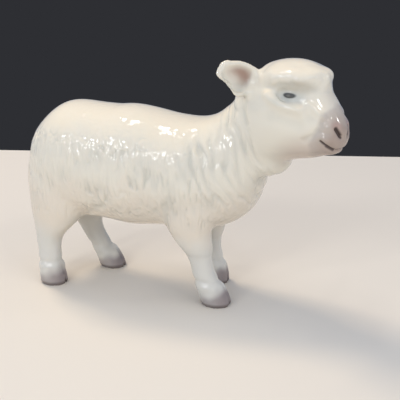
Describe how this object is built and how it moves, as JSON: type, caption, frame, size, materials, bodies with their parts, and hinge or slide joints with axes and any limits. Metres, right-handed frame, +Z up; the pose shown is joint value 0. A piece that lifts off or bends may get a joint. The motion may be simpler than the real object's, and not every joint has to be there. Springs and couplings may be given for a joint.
{
  "type": "sheep figurine",
  "caption": "Standing lamb ornament in glossy white glazed porcelain, head turned to its right, with tinted muzzle, ears and hooves.",
  "frame": {"origin": "middle of the figure's base: the centre of its outline in plan, on the plane of the hoof soles", "axes": "+X towards the lamb's head, +Y to the lamb's left, +Z up"},
  "size_m": [0.1269, 0.0404, 0.0906],
  "materials": {
    "body_glaze": "clear gloss glaze",
    "ear_glaze": "clear gloss glaze",
    "leg_glaze": "clear gloss glaze"
  },
  "bodies": {
    "root": {"torso": "body_glaze", "head": "body_glaze", "tail": "body_glaze", "right_ear": "ear_glaze", "left_ear": "ear_glaze", "front_right_leg": "leg_glaze", "front_left_leg": "leg_glaze", "hind_right_leg": "leg_glaze", "hind_left_leg": "leg_glaze"}
  },
  "joints": []
}
